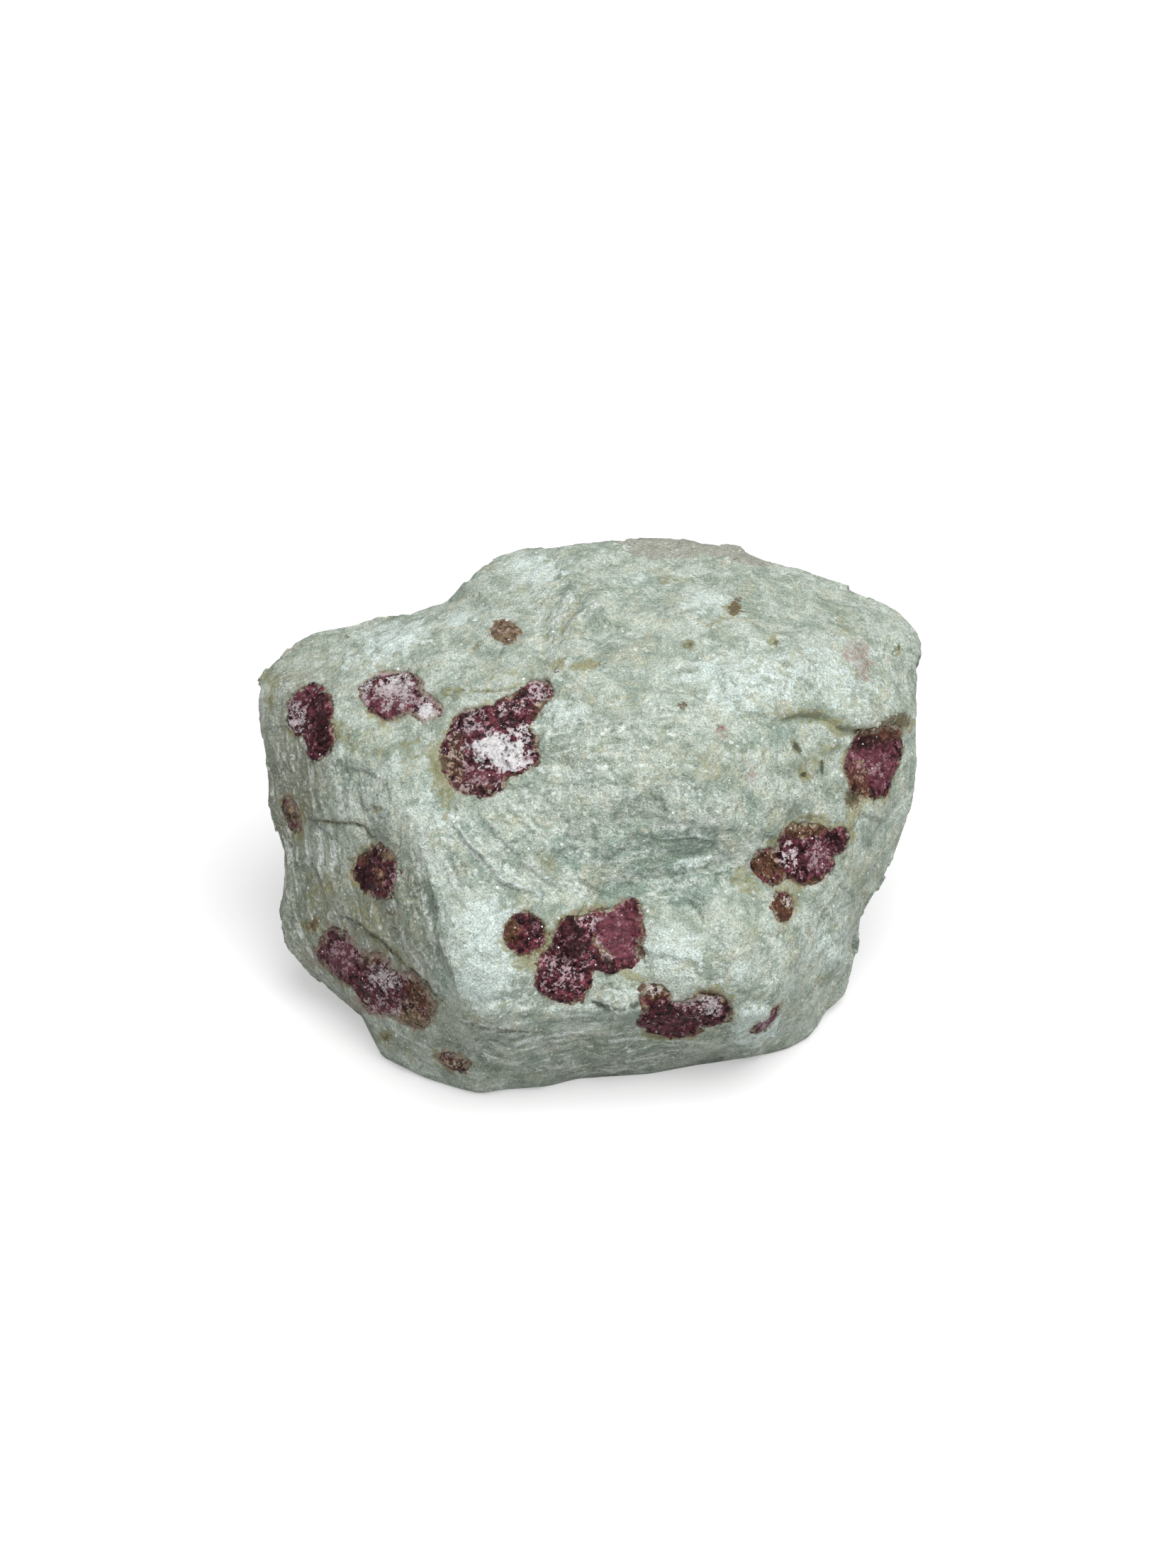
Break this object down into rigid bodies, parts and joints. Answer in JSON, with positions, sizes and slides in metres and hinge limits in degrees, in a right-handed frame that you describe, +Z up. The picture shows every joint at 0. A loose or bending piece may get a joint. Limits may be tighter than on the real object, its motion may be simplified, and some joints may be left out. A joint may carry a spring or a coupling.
{
  "type": "rough pink tourmaline",
  "caption": "Blocky lump of rough pale green rock with dark pink tourmaline crystals broken across its faces, resting on a flat underside.",
  "frame": {"origin": "under the middle of the rock, on the surface that it rests on", "axes": "+X to the right along the rock's longest side, +Y from the pictured front to the back, +Z up"},
  "size_m": [0.0604, 0.0482, 0.0353],
  "materials": {
    "matrix": "pale green sugary rock with broken faces",
    "tourmaline": "dark pink granular crystal with broken, glinting faces"
  },
  "bodies": {
    "root": {"matrix": "matrix", "tourmaline_upper_left": "tourmaline", "tourmaline_shoulder": "tourmaline", "tourmaline_large": "tourmaline", "tourmaline_brown_bead": "tourmaline", "tourmaline_left_face": "tourmaline", "tourmaline_lower_left": "tourmaline", "tourmaline_left_sliver": "tourmaline", "tourmaline_foot_chip": "tourmaline", "tourmaline_bead": "tourmaline", "tourmaline_middle": "tourmaline", "tourmaline_foot": "tourmaline", "tourmaline_foot_bead": "tourmaline", "tourmaline_hollow": "tourmaline", "tourmaline_hollow_bead": "tourmaline", "tourmaline_right": "tourmaline", "tourmaline_back_large": "tourmaline", "tourmaline_back_left": "tourmaline", "tourmaline_back_low": "tourmaline", "tourmaline_back_right": "tourmaline", "tourmaline_back_bead": "tourmaline", "tourmaline_left_end": "tourmaline", "tourmaline_right_end": "tourmaline"}
  },
  "joints": []
}
